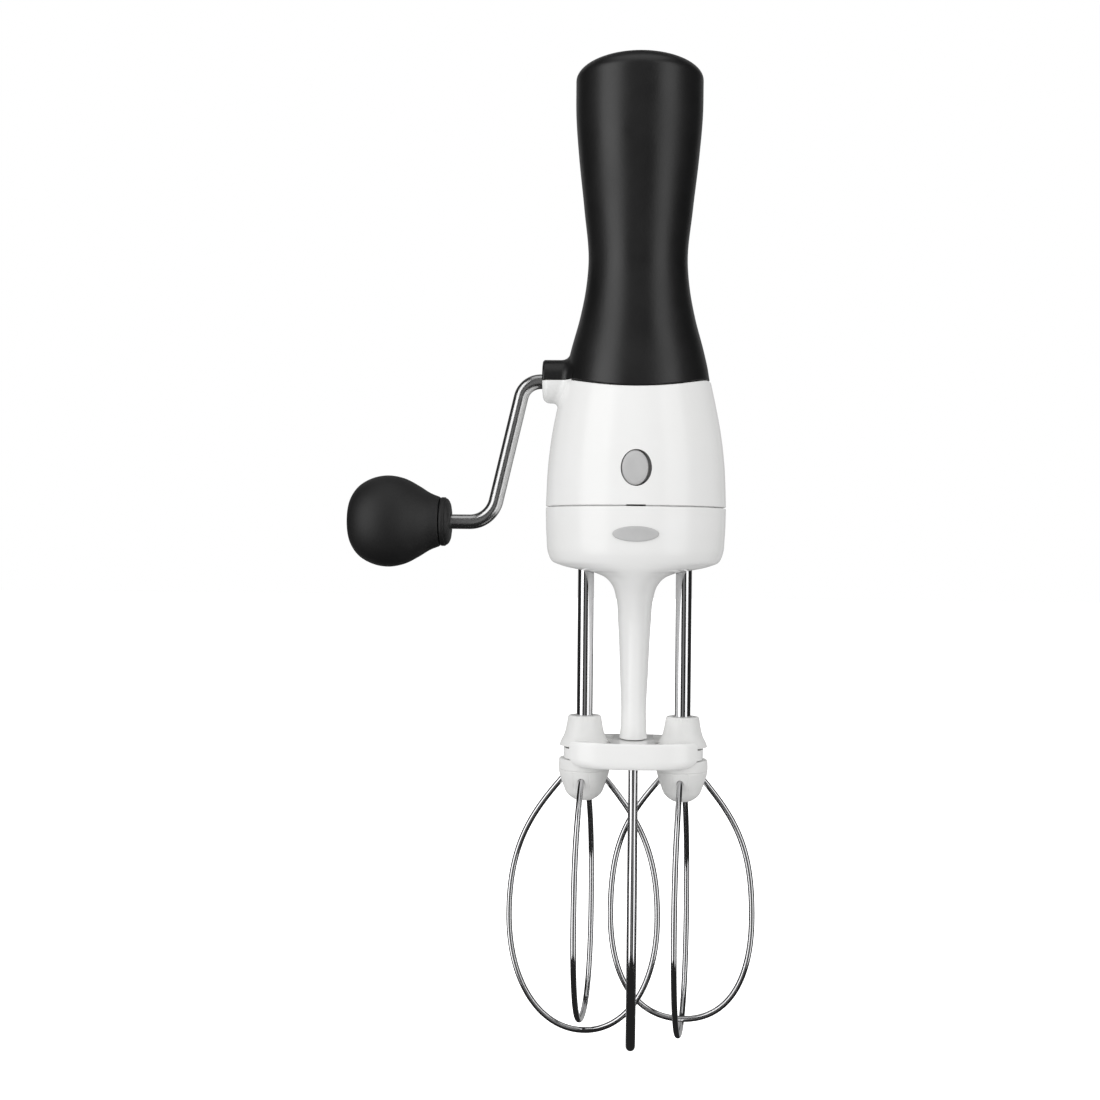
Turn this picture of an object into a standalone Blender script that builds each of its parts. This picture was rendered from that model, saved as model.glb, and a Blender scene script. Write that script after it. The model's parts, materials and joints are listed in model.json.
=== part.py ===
"""Hand-cranked egg beater with a detachable beater unit.

Lengths below are in millimetres, and each mesh is turned into metres as it is made.
The origin is on the body's upright axis, level with the lowest point of the foot loop.
+X points away from the crank, -Y is the front with the release button, and +Z is up.
"""

import math

import bmesh
import bpy
from mathutils import Matrix, Vector
from mathutils.geometry import interpolate_bezier

MM = 0.001
GAP = 0.3                      # clearance between pieces that touch on the real object
RUN = 0.15                     # running clearance of a shaft in its bush

# Body outline
HEIGHT = 311.0
DEPTH = 0.92                   # depth of the handle and housings over their width
SPLIT_Z = 208.0                # where the rubber grip meets the white housing, at the sides
SPLIT_DIP = 3.2                # how far that edge dips at the front and back
LEVEL_SHARE = 0.12             # share of the dip's curve left level, for the boss
DOME_Z = 301.5
GRIP_OUTLINE = [(22.9, SPLIT_Z), (20.6, 217.8), (17.9, 227.8), (16.2, 236.6), (15.45, 245.0),
                (16.9, 261.7), (18.7, 278.0), (19.7, 291.0), (19.8, DOME_Z)]
SEAM_Z = 169.0                 # where the beater unit meets the upper housing
UPPER_OUTLINE = [(28.0, SEAM_Z), (27.4, 182.0), (26.2, 191.9), (24.6, 200.3), (22.9, SPLIT_Z)]
LOWER_OUTLINE = [(28.0, SEAM_Z - GAP), (27.7, 159.6), (26.9, 153.4), (25.6, 151.4),
                 (17.2, 149.6), (11.6, 148.2), (8.6, 146.6), (6.6, 144.2), (5.6, 140.5),
                 (5.1, 133.0), (4.4, 118.0), (3.95, 102.5), (4.3, 99.0), (5.1, 97.0)]
STEM_TOP_Z = 148.2             # the lower housing is round above this and oval below it
STEM_DEPTH = 1.25
RUBBER_WALL = 1.8
CORE_WALL = 1.5
CORE_BASE_Z = 222.6
SHELL_WALL = 2.2
ROUND = 32                     # points round a housing

# Crank
CRANK_Z = SPLIT_Z
ROD_R = 2.3
BOSS_R = 6.6
BOSS_END_X = -29.3
BOSS_ROOT_X = -20.6
CRANK_CORNERS = [(18.6, 0.0), (-35.0, 0.0), (-45.2, -44.0), (-84.5, -44.0)]  # x, height over shaft
CRANK_BENDS = [6.0, 5.0]
CRANK_THROW = 44.0
KNOB_OUTER = [(1.0, -90.2), (6.5, -89.6), (10.6, -87.2), (13.4, -82.8), (14.3, -77.2),
              (13.6, -71.5), (11.0, -65.6), (8.6, -62.4), (7.55, -61.2)]
KNOB_COLLAR = [(7.5, -60.9), (7.5, -59.4), (6.6, -58.1), (4.6, -57.6)]

# Drive: two crown gears on the crank shaft turn one pinion each, 35 teeth to 10
SHAFT_X = 15.25
MODULE = 0.72
CROWN_TEETH = 35
PINION_TEETH = 10
CROWN_R = MODULE * CROWN_TEETH / 2
PINION_R = MODULE * PINION_TEETH / 2
FACE_WIDTH = 2.2
CROWN_BACK_X = 8.4
ADDENDUM = MODULE
DEDENDUM = 1.25 * MODULE
TOOTH_SHARE = 0.37             # tooth thickness over pitch, which leaves backlash
PRESSURE_ANGLE = math.radians(20)
SPINDLE_R = 1.9
SOCKET_R = 3.6

# Gear frame and chassis plate
PLATE_Z = (174.0, 176.5)
FRAME_BASE_Z = (176.8, 178.6)
FRAME_ARM_Z = (198.0, 200.6)
FRAME_TOP_Z = 213.4
FRAME_HALF_Y = 5.0
SCREW_SPOTS = [(-10.0, -18.2), (10.0, -18.2), (-10.0, 18.2), (10.0, 18.2)]

# Beater unit
SHAFT_R = 2.5
DECK_Z = (163.4, 165.8)
BRIDGE_Z = (88.6, 96.7)
BRIDGE_HALF = (21.7, 13.0)
WEB_Z = (91.0, 94.2)
POCKET_R = 8.3
COLLAR_OUTLINE = [(7.8, 94.6), (7.5, 95.6), (6.3, 98.2), (5.7, 100.6), (5.15, 104.0)]
BELL_OUTLINE = [(3.0, 77.8), (4.5, 78.8), (5.4, 79.7), (6.4, 81.9), (7.2, 84.2), (7.9, 86.8),
                (7.9, 90.7)]
WIRE_R = 0.8
WIRE_ENTRY = (5.4, 85.9)
ENTRY_SLOPE = math.radians(41)
OUTER_LOOP = {"radius": 23.35, "wide_z": 41.0, "bottom_z": 5.4, "pulls": (17.6, 21.6, 21.9, 13.2)}
INNER_LOOP = {"radius": 22.0, "wide_z": 42.0, "bottom_z": 9.7, "pulls": (17.6, 22.3, 20.8, 13.8)}
LEFT_TURN = math.radians(-5.6)
RIGHT_TURN = math.radians(-6.8)
FOOT_R = 1.5
FOOT_TOP = (10.4, 91.6)
FOOT_WIDE = (22.0, 46.0)

# Release latch
BUTTON_Z = 180.8
BUTTON_HALF = (4.05, 5.4)
BUTTON_HOLE_HALF = (4.9, 5.8)
BUTTON_SHIFT = -0.4
BUTTON_FACE_Y = -24.9
TONGUE_Y = (-13.6, -11.8)
TONGUE_TOP_Z = 180.8
WINDOW_Z = (176.8, 179.0)
GUIDE_Y = (-15.4, -14.2)
FLANGE_Y = (-21.3, -20.6)
BUTTON_TRAVEL = 2.2
NOTCH_Y = FLANGE_Y[1] + BUTTON_TRAVEL + 0.5     # the plate is cut back clear of the pressed button
BADGE_Z = 160.5
BADGE_HALF = (7.4, 2.45)
BADGE_THICK = 0.6

PLACE = {
    "X": lambda u, v, w: (w, u, v),
    "Y": lambda u, v, w: (u, w, v),
    "Z": lambda u, v, w: (u, v, w),
}


def clear_scene():
    for found in list(bpy.data.objects):
        bpy.data.objects.remove(found, do_unlink=True)


def make_material(name, color, roughness, metallic=0.0):
    material = bpy.data.materials.new(name)
    material.use_nodes = True
    shader = material.node_tree.nodes["Principled BSDF"]
    shader.inputs["Base Color"].default_value = (*color, 1.0)
    shader.inputs["Roughness"].default_value = roughness
    shader.inputs["Metallic"].default_value = metallic
    material.diffuse_color = (*color, 1.0)
    return material


def empty(name, place, parent=None):
    """An empty on a joint's axis, which the pieces of one moving body are parented to."""
    holder = bpy.data.objects.new(name, None)
    holder.location = Vector(place) * MM
    holder.parent = parent
    bpy.context.scene.collection.objects.link(holder)
    return holder


def add_object(name, data, finish, parent):
    made = bpy.data.objects.new(name, data)
    if finish:
        data.materials.append(make_material(name, *finish))
    made.parent = parent
    bpy.context.scene.collection.objects.link(made)
    return made


def skin(name, rings, finish=None, parent=None, closed=False, smooth=True):
    """A closed solid through a stack of rings, capped at its ends or joined last to first."""
    mesh = bpy.data.meshes.new(name)
    bm = bmesh.new()
    loops = [[bm.verts.new(Vector(point) * MM) for point in ring] for ring in rings]
    pairs = list(zip(loops, loops[1:]))
    if closed:
        pairs.append((loops[-1], loops[0]))
    else:
        bm.faces.new(loops[0])
        bm.faces.new(loops[-1])
    for low, high in pairs:
        for i, point in enumerate(low):
            j = (i + 1) % len(low)
            bm.faces.new((point, low[j], high[j], high[i]))
    bmesh.ops.recalc_face_normals(bm, faces=bm.faces)
    bm.to_mesh(mesh)
    bm.free()
    if smooth:
        mesh.shade_smooth()
        mesh.set_sharp_from_angle(angle=math.radians(40))
    return add_object(name, mesh, finish, parent)


def oval(half_x, half_y, z, count=ROUND):
    turns = [2 * math.pi * i / count for i in range(count)]
    return [(half_x * math.cos(a), half_y * math.sin(a), z) for a in turns]


def along_axis(ring, axis):
    return [PLACE[axis](*point) for point in ring]


def turned(name, profile, finish=None, parent=None, axis="Z", closed=False, count=20, at=(0, 0, 0)):
    """A turned solid. Its profile is (radius, height) points, and a closed one makes a ring."""
    rings = []
    for radius, height in profile:
        ring = along_axis(oval(radius, radius, height, count), axis)
        rings.append([tuple(Vector(point) + Vector(at)) for point in ring])
    return skin(name, rings, finish, parent, closed)


def tube(name, inner, outer, span, finish, parent=None, axis="Z", count=14, at=(0, 0, 0)):
    low, high = span
    profile = [(inner, low), (outer, low), (outer, high), (inner, high)]
    return turned(name, profile, finish, parent, axis, True, count, at)


def prism(name, outline, span, axis, finish=None, parent=None):
    """An outline extruded along an axis. Along X it is (y, z), along Y (x, z), along Z (x, y)."""
    rings = [along_axis([(u, v, end) for u, v in outline], axis) for end in span]
    return skin(name, rings, finish, parent, smooth=False)


def block(name, x, y, z, finish=None, parent=None):
    outline = [(x[0], y[0]), (x[1], y[0]), (x[1], y[1]), (x[0], y[1])]
    return prism(name, outline, z, "Z", finish, parent)


def combine(target, tool, operation="DIFFERENCE"):
    tool.hide_render = True
    tool.display_type = "WIRE"
    tool.parent = target.parent
    modifier = target.modifiers.new(tool.name, "BOOLEAN")
    modifier.operation = operation
    modifier.object = tool


def drill(target, label, radius, span, at=(0, 0, 0), axis="Z", count=16):
    low, high = span
    tool = turned(f"{target.name}_{label}", [(radius, high), (radius, low)], axis=axis, count=count,
                  at=at)
    combine(target, tool)


def wire(name, points, radius, finish, parent=None, roundness=1):
    """A round wire along points, with filled ends."""
    curve = bpy.data.curves.new(name, "CURVE")
    curve.dimensions = "3D"
    curve.bevel_depth = radius * MM
    curve.bevel_resolution = roundness
    curve.use_fill_caps = True
    spline = curve.splines.new("POLY")
    spline.points.add(len(points) - 1)
    for spot, point in zip(spline.points, points):
        spot.co = (*(Vector(point) * MM), 1.0)
    return add_object(name, curve, finish, parent)


def smooth_outline(points, steps):
    """The points with a smooth curve drawn through them, steps points to each stretch."""
    ends = [Vector(points[0]) * 2 - Vector(points[1]), Vector(points[-1]) * 2 - Vector(points[-2])]
    path = [ends[0], *map(Vector, points), ends[1]]
    result = []
    for before, start, end, after in zip(path, path[1:], path[2:], path[3:]):
        leave = start + (end - before) / 6
        arrive = end - (after - start) / 6
        result += interpolate_bezier(start, leave, arrive, end, steps + 1)[:-1]
    return [tuple(point) for point in [*result, path[-2]]]


def split_height(x, half_x):
    """Height of the edge between grip and housing: level at the boss, dipping front and back."""
    share = max(0.0, 1 - (x / half_x) ** 2 - LEVEL_SHARE) / (1 - LEVEL_SHARE)
    return SPLIT_Z - SPLIT_DIP * share


def follow_split(ring, half_x, shift=0.0):
    return [(x, y, split_height(x, half_x) + shift) for x, y, _ in ring]


def body_rings(outline, inset=0.0, count=ROUND):
    return [oval(r - inset, r * DEPTH - inset, z, count) for r, z in outline]


def grip_dome(inset, steps):
    """Rings of the rounded top, from its shoulder to near its crown."""
    radius = GRIP_OUTLINE[-1][0]
    rings = []
    for i in range(1, steps + 1):
        turn = math.radians(86) * i / steps
        half = (radius - inset) * math.cos(turn)
        rise = (HEIGHT - DOME_Z - inset) * math.sin(turn)
        rings.append(oval(half, half * (radius * DEPTH - inset) / (radius - inset), DOME_Z + rise))
    return rings


def boss_half(name, upper):
    """Half of the round boss that the crank shaft leaves the body through."""
    start = 0 if upper else math.pi
    shift = GAP / 2 if upper else -GAP / 2
    turns = [start + math.pi * i / 10 for i in range(11)]
    outline = [(BOSS_R * math.cos(a), CRANK_Z + shift + BOSS_R * math.sin(a)) for a in turns]
    return prism(name, outline, (BOSS_END_X, BOSS_ROOT_X), "X")


def make_grip():
    black = ((0.012, 0.012, 0.013), 0.55)
    outer = body_rings(GRIP_OUTLINE) + grip_dome(0.0, 4)
    inner = body_rings(GRIP_OUTLINE, RUBBER_WALL) + grip_dome(RUBBER_WALL, 3)
    outer[0] = follow_split(outer[0], GRIP_OUTLINE[0][0], GAP / 2)
    inner[0] = follow_split(inner[0], GRIP_OUTLINE[0][0], GAP / 2)
    grip = skin("grip_sleeve", inner[::-1] + outer, black)
    combine(grip, boss_half("grip_boss", True), "UNION")
    drill(grip, "bore", 4.3, (-32, -12), (0, 0, CRANK_Z), "X")


def make_core():
    """Moulded core under the rubber, from above the gears to the top of the handle."""
    inset = RUBBER_WALL + GAP
    (wide, low), (narrow, high) = GRIP_OUTLINE[1:3]
    base = wide + (narrow - wide) * (CORE_BASE_Z - low) / (high - low)
    outline = [(base, CORE_BASE_Z), *GRIP_OUTLINE[2:]]
    outer = body_rings(outline, inset) + grip_dome(inset, 3)
    inner = body_rings(outline, inset + CORE_WALL) + grip_dome(inset + CORE_WALL, 2)
    skin("handle_core", inner[::-1] + outer, ((0.75, 0.75, 0.73), 0.5))


def make_upper_housing():
    white = ((0.86, 0.86, 0.84), 0.18)
    outer = body_rings(UPPER_OUTLINE)
    inner = body_rings(UPPER_OUTLINE, SHELL_WALL)
    outer[-1] = follow_split(outer[-1], UPPER_OUTLINE[-1][0], -GAP / 2)
    inner[-1] = follow_split(inner[-1], UPPER_OUTLINE[-1][0], -GAP / 2)
    housing = skin("upper_housing", outer + inner[::-1], white, closed=True)
    combine(housing, boss_half("housing_boss", False), "UNION")
    drill(housing, "bore", 4.3, (-32, -12), (0, 0, CRANK_Z), "X")
    for number, (x, y) in enumerate(SCREW_SPOTS, 1):
        post = turned(f"housing_post_{number}", [(2.8, 187.0), (2.8, PLATE_Z[1] + GAP)], count=16,
                      at=(x, y, 0))
        combine(housing, post, "UNION")
        drill(housing, f"post_hole_{number}", 1.25, (170, 185), (x, y, 0), count=12)
    hole = [(BUTTON_HOLE_HALF[0] * math.cos(a), BUTTON_Z + BUTTON_HOLE_HALF[1] * math.sin(a))
            for a in (2 * math.pi * i / 24 for i in range(24))]
    combine(housing, prism("housing_button_hole", hole, (-30, -15), "Y"))


def make_chassis():
    plate = skin("chassis_plate", [oval(24.9, 22.4, z) for z in PLATE_Z], ((0.75, 0.75, 0.73), 0.5))
    plate_bores = [(-SHAFT_X, 5.2), (SHAFT_X, 5.2)]
    for number, (x, radius) in enumerate(plate_bores, 1):
        drill(plate, f"bore_{number}", radius, (170, 180), (x, 0, 0))
    for number, (x, y) in enumerate(SCREW_SPOTS, 1):
        drill(plate, f"screw_hole_{number}", 1.25, (170, 180), (x, y, 0), count=12)
        profile = [(0.95, 184.0), (0.95, 173.6), (2.1, 173.6), (2.1, 172.4)]
        turned(f"chassis_screw_{number}", profile, ((0.6, 0.6, 0.6), 0.3, 1.0), count=12, at=(x, y, 0))
    slot = block("plate_slot", (-4.6, 4.6), (TONGUE_Y[0] - 0.6, TONGUE_Y[1] + 0.6), (170, 180))
    combine(plate, slot)
    combine(plate, block("plate_notch", (-6.6, 6.6), (-25, NOTCH_Y), (170, 180)))


def make_gear_frame():
    """Bent steel frame that carries the crank shaft and the tops of both spindles."""
    half = [(0, FRAME_BASE_Z[0]), (21.3, FRAME_BASE_Z[0]), (21.3, FRAME_ARM_Z[1]),
            (16.9, FRAME_ARM_Z[1]), (16.9, FRAME_TOP_Z), (13.5, FRAME_TOP_Z), (13.5, FRAME_ARM_Z[1]),
            (12.6, FRAME_ARM_Z[1]), (12.6, FRAME_ARM_Z[0]), (19.9, FRAME_ARM_Z[0]),
            (19.9, FRAME_BASE_Z[1]), (0, FRAME_BASE_Z[1])]
    outline = half[1:-1] + [(-x, z) for x, z in reversed(half[1:-1])]
    steel = ((0.55, 0.55, 0.55), 0.35, 1.0)
    frame = prism("gear_frame", outline, (-FRAME_HALF_Y, FRAME_HALF_Y), "Y", steel)
    drill(frame, "crank_bore", 3.7, (-25, 25), (0, 0, CRANK_Z), "X")
    for side, x in (("left", -SHAFT_X), ("right", SHAFT_X)):
        drill(frame, f"{side}_base_bore", SOCKET_R + 0.6, (175, 180), (x, 0, 0))
        drill(frame, f"{side}_arm_bore", 2.3, (190, FRAME_ARM_Z[1] - 0.25), (x, 0, 0), count=16)


def make_bushes():
    bronze = ((0.55, 0.42, 0.25), 0.4, 1.0)
    tube("boss_bush", ROD_R + RUN, 4.0, (BOSS_END_X + 0.5, -21.0), bronze, None, "X",
         at=(0, 0, CRANK_Z))
    for side, x in (("left", -SHAFT_X), ("right", SHAFT_X)):
        tube(f"crank_bush_{side}", ROD_R + RUN, 3.4, (x - 1.6, x + 1.6), bronze, None, "X",
             at=(0, 0, CRANK_Z))
        tube(f"spindle_bush_lower_{side}", SOCKET_R + RUN, 4.9, (173.6, 176.5), bronze, at=(x, 0, 0))
        tube(f"spindle_bush_upper_{side}", 1.3 + RUN, 2.0, (198.0, 200.2), bronze, count=16,
             at=(x, 0, 0))


def corner_path(corners, bends, steps):
    """The corners as a path whose inner corners are rounded with arcs."""
    path = [Vector(corners[0])]
    for before, corner, after, radius in zip(corners, corners[1:], corners[2:], bends):
        back = (Vector(before) - Vector(corner)).normalized()
        ahead = (Vector(after) - Vector(corner)).normalized()
        half_angle = back.angle(ahead) / 2
        center = Vector(corner) + (back + ahead).normalized() * radius / math.sin(half_angle)
        spoke = Vector(corner) + back * radius / math.tan(half_angle) - center
        axis = ahead.cross(back)
        turn = math.pi - 2 * half_angle
        for i in range(steps + 1):
            path.append(center + Matrix.Rotation(turn * i / steps, 3, axis) @ spoke)
    return [*path, Vector(corners[-1])]


def make_crank(crank):
    steel = ((0.62, 0.62, 0.62), 0.28, 1.0)
    path = corner_path([(x, 0, z) for x, z in CRANK_CORNERS], CRANK_BENDS, 6)
    wire("crank_rod", path, ROD_R, steel, crank, roundness=4)
    for side, sign in (("left", -1), ("right", 1)):
        crown_gear(f"crown_gear_{side}", sign, crank)
    spacer = CROWN_BACK_X - GAP
    tube("crown_spacer", ROD_R + GAP, 5.0, (-spacer, spacer), ((0.8, 0.8, 0.78), 0.5), crank, "X")
    clip_x = 17.4
    tube("shaft_clip", ROD_R + GAP, 4.2, (clip_x, clip_x + 0.8), steel, crank, "X")
    turned("rod_cap", [(4.4, -84.8), (4.4, -86.2), (3.0, -86.9)], steel, crank, "X",
           at=(0, 0, -CRANK_THROW))


def crown_gear(name, sign, crank):
    """A crown gear on the crank shaft, with its teeth facing outwards."""
    face = SHAFT_X - PINION_R
    tip_x = face + ADDENDUM
    root_x = face - DEDENDUM
    pitch = 2 * math.pi * CROWN_R / CROWN_TEETH
    middle = pitch * TOOTH_SHARE / 2
    tip = (middle - ADDENDUM * math.tan(PRESSURE_ANGLE)) / CROWN_R
    root = (middle + DEDENDUM * math.tan(PRESSURE_ANGLE)) / CROWN_R
    turns = []
    gap_below = 1.5 * math.pi + math.pi / CROWN_TEETH
    for i in range(CROWN_TEETH):
        center = gap_below + 2 * math.pi * i / CROWN_TEETH
        turns += [(center - root, root_x), (center - tip, tip_x), (center + tip, tip_x),
                  (center + root, root_x)]
    inside = CROWN_R - FACE_WIDTH / 2
    outside = CROWN_R + FACE_WIDTH / 2
    profile = [(ROD_R + GAP, CROWN_BACK_X), (outside, CROWN_BACK_X), (outside, None),
               (inside, None), (ROD_R + GAP, root_x - 0.7)]
    rings = []
    for radius, x in profile:
        rings.append([(sign * (tooth_x if x is None else x), radius * math.cos(a),
                       radius * math.sin(a)) for a, tooth_x in turns])
    skin(name, rings, ((0.8, 0.8, 0.78), 0.5), crank, closed=True, smooth=False)


def make_knob(knob):
    black = ((0.012, 0.012, 0.013), 0.5)
    cavity = [(3.6, -61.2), (3.6, -80.5), (5.2, -80.5), (5.2, -87.4)]
    outer = smooth_outline(KNOB_OUTER, 1)
    profile = outer + cavity
    turned("crank_knob", profile, black, knob, "X", count=28)
    tube("knob_sleeve", ROD_R + RUN, 3.3, (-80.2, -61.4), ((0.7, 0.7, 0.7), 0.4), knob, "X")
    collar = smooth_outline(KNOB_COLLAR, 1) + [(ROD_R + RUN, -57.6), (ROD_R + RUN, -60.9)]
    turned("knob_collar", collar, black, knob, "X", closed=True, count=24)


def make_spindle(side, spindle):
    """The upright spindle with its pinion above and a hexagonal socket at its foot."""
    count = 24
    outer = [(SOCKET_R, 171.4), (SOCKET_R, 185.0), (SPINDLE_R, 186.0), (SPINDLE_R, 197.4),
             (1.3, 197.4), (1.3, 199.8)]
    socket = [hexagon(4.4, z, count) for z in (183.0, 171.4)]
    rings = socket + [oval(r, r, z, count) for r, z in outer]
    skin(f"{side}_spindle", rings, ((0.62, 0.62, 0.62), 0.3, 1.0), spindle)
    pinion(f"{side}_pinion", spindle)


def hexagon(across_flats, z, count):
    """A hexagonal ring with count points, a sixth of them on each flat."""
    points = []
    for i in range(count):
        turn = 2 * math.pi * i / count
        lean = turn % (math.pi / 3) - math.pi / 6
        radius = across_flats / 2 / math.cos(lean)
        points.append((radius * math.cos(turn), radius * math.sin(turn), z))
    return points


def pinion(name, spindle):
    pitch = 2 * math.pi * PINION_R / PINION_TEETH
    middle = pitch * TOOTH_SHARE / 2
    tip_r = PINION_R + ADDENDUM
    root_r = PINION_R - DEDENDUM
    tip = (middle - 0.8 * ADDENDUM * math.tan(PRESSURE_ANGLE)) / tip_r
    root = (middle + 0.8 * DEDENDUM * math.tan(PRESSURE_ANGLE)) / root_r
    turns = []
    for i in range(PINION_TEETH):
        center = 2 * math.pi * i / PINION_TEETH
        turns += [(center - root, root_r), (center - tip, tip_r), (center + tip, tip_r),
                  (center + root, root_r)]
    low = CRANK_Z - CROWN_R - 1.7
    high = CRANK_Z - CROWN_R + 1.7
    bore = SPINDLE_R + GAP
    rings = [[(bore * math.cos(a), bore * math.sin(a), z) for a, _ in turns] for z in (high, low)]
    rings += [[(r * math.cos(a), r * math.sin(a), z) for a, r in turns] for z in (low, high)]
    skin(name, rings, ((0.55, 0.45, 0.28), 0.4, 1.0), spindle, closed=True, smooth=False)


def stem_rings(outline, count=ROUND):
    rings = []
    for half, z in outline:
        share = min(1.0, max(0.0, (STEM_TOP_Z - z) / 8))
        ratio = DEPTH + (STEM_DEPTH - DEPTH) * share
        rings.append(oval(half, half * ratio, z, count))
    return rings


def make_lower_housing(unit):
    white = ((0.86, 0.86, 0.84), 0.18)
    floor_z = 152.9
    outer = stem_rings(LOWER_OUTLINE)[::-1]
    inner = [(LOWER_OUTLINE[0][0], SEAM_Z - GAP), (27.7, 159.6), (26.6, 154.6), (24.0, floor_z),
             (8.0, floor_z - 0.8)]
    rings = outer + body_rings(inner, SHELL_WALL)
    housing = skin("lower_housing", rings, white, unit)
    for side, x in (("left", -SHAFT_X), ("right", SHAFT_X)):
        drill(housing, f"{side}_bore", SHAFT_R + 0.5, (140, 160), (x, 0, 0))
        drill(housing, f"{side}_seat", 4.3, (151.0, 160), (x, 0, 0))


def make_deck(unit):
    """Deck that closes the beater unit, with the latch tongue that holds the unit up."""
    grey = ((0.75, 0.75, 0.73), 0.5)
    deck = skin("unit_deck", [oval(25.3, 23.0, z) for z in DECK_Z], grey, unit)
    for side, x in (("left", -SHAFT_X), ("right", SHAFT_X)):
        drill(deck, f"{side}_bore", 4.1, (160, 170), (x, 0, 0))
    foot = DECK_Z[1] + GAP
    outline = [(TONGUE_Y[0], foot), (-5.6, foot), (-5.6, foot + 1.8), (TONGUE_Y[1], foot + 1.8),
               (TONGUE_Y[1], TONGUE_TOP_Z), (TONGUE_Y[0], TONGUE_TOP_Z)]
    tongue = prism("latch_tongue", outline, (-4.0, 4.0), "X", grey, unit)
    combine(tongue, block("tongue_window", (-2.4, 2.4), (-20, -8), WINDOW_Z))
    for side, x in (("left", -2.3), ("right", 2.3)):
        spot = (x, -8.4, 0)
        drill(deck, f"{side}_screw_hole", 1.1, (160, 170), spot, count=12)
        drill(tongue, f"{side}_screw_hole", 1.1, (160, 170), spot, count=12)
        profile = [(0.8, DECK_Z[0] + 0.2), (0.8, foot + 2.1), (1.6, foot + 2.1), (1.6, foot + 3.0)]
        turned(f"deck_screw_{side}", profile[::-1], ((0.6, 0.6, 0.6), 0.3, 1.0), unit, count=12,
               at=spot)


def make_bridge(unit):
    white = ((0.86, 0.86, 0.84), 0.2)
    half_x, half_y = BRIDGE_HALF
    low, high = BRIDGE_Z
    levels = [(0.80, low), (0.93, low + 0.5), (1.0, low + 2.2), (1.0, high - 0.8), (0.97, high)]
    rings = []
    for share, z in levels:
        rings.append([(bend(x, half_x), bend(y, half_y), z)
                      for x, y, _ in oval(half_x * share, half_y * (1 + share) / 2, z)])
    bridge = skin("beater_bridge", rings, white, unit)
    for side, x in (("left", -SHAFT_X), ("right", SHAFT_X)):
        drill(bridge, f"{side}_upper_pocket", POCKET_R, (WEB_Z[1], 110), (x, 0, 0), count=32)
        drill(bridge, f"{side}_lower_pocket", POCKET_R, (70, WEB_Z[0]), (x, 0, 0), count=32)
        drill(bridge, f"{side}_bore", SHAFT_R + RUN, (80, 100), (x, 0, 0))
    for side, y in (("front", -FOOT_TOP[0]), ("back", FOOT_TOP[0])):
        drill(bridge, f"{side}_foot_hole", FOOT_R + GAP, (80, FOOT_TOP[1] + GAP), (0, y, 0), count=16)


def bend(value, half):
    """Squares off an oval's outline a little, for fuller corners."""
    share = value / half
    return half * math.copysign(abs(share) ** 0.8, share)


def curve_path(spots, steps):
    """A path through Bezier stretches, each given as its four points."""
    path = []
    for start, leave, arrive, end in spots:
        path += interpolate_bezier(Vector(start), Vector(leave), Vector(arrive), Vector(end), steps)
        path.pop()
    return [*path, Vector(spots[-1][-1])]


def half_loop(top, slope, wide, bottom_z, pulls):
    """(out, height) points of half a loop, from its top end by its widest point to its foot."""
    out = (top[0] + pulls[0] * math.sin(slope), top[1] - pulls[0] * math.cos(slope))
    upper = [top, out, (wide[0], wide[1] + pulls[1]), wide]
    lower = [wide, (wide[0], wide[1] - pulls[2]), (pulls[3], bottom_z), (0, bottom_z)]
    stretches = [[(x, z, 0) for x, z in stretch] for stretch in (upper, lower)]
    return [(point.x, point.y) for point in curve_path(stretches, 11)]


def full_loop(half, turn):
    """Both halves of a loop, in an upright plane at this angle from the X axis."""
    flat = half + [(-out, z) for out, z in reversed(half[:-1])]
    return [(out * math.cos(turn), out * math.sin(turn), z) for out, z in flat]


def make_foot(unit):
    half = half_loop(FOOT_TOP, math.radians(4), FOOT_WIDE, FOOT_R, (18.0, 20.0, 26.0, 13.5))
    steel = ((0.66, 0.66, 0.66), 0.12, 1.0)
    wire("foot_loop", full_loop(half, math.pi / 2), FOOT_R, steel, unit)


def make_unit_fittings(unit):
    bronze = ((0.55, 0.42, 0.25), 0.4, 1.0)
    for side, x in (("left", -SHAFT_X), ("right", SHAFT_X)):
        tube(f"shaft_bush_upper_{side}", SHAFT_R + RUN, 3.8, (162.8, 166.2), bronze, unit,
             at=(x, 0, 0))
        tube(f"shaft_bush_lower_{side}", SHAFT_R + RUN, 4.0, (151.3, 154.8), bronze, unit,
             at=(x, 0, 0))
    make_badge(unit)


def make_badge(unit):
    """Plain oval badge that follows the front of the lower housing."""
    outline = [(x, BADGE_Z + z) for x, z, _ in oval(*BADGE_HALF, 0, 24)]
    badge = prism("badge", outline, (-30, -20), "Y", ((0.45, 0.45, 0.44), 0.35), unit)
    around = LOWER_OUTLINE[:3]
    combine(badge, skin("badge_front", body_rings(around, -GAP - BADGE_THICK)), "INTERSECT")
    combine(badge, skin("badge_back", body_rings(around, -GAP)))


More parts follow.
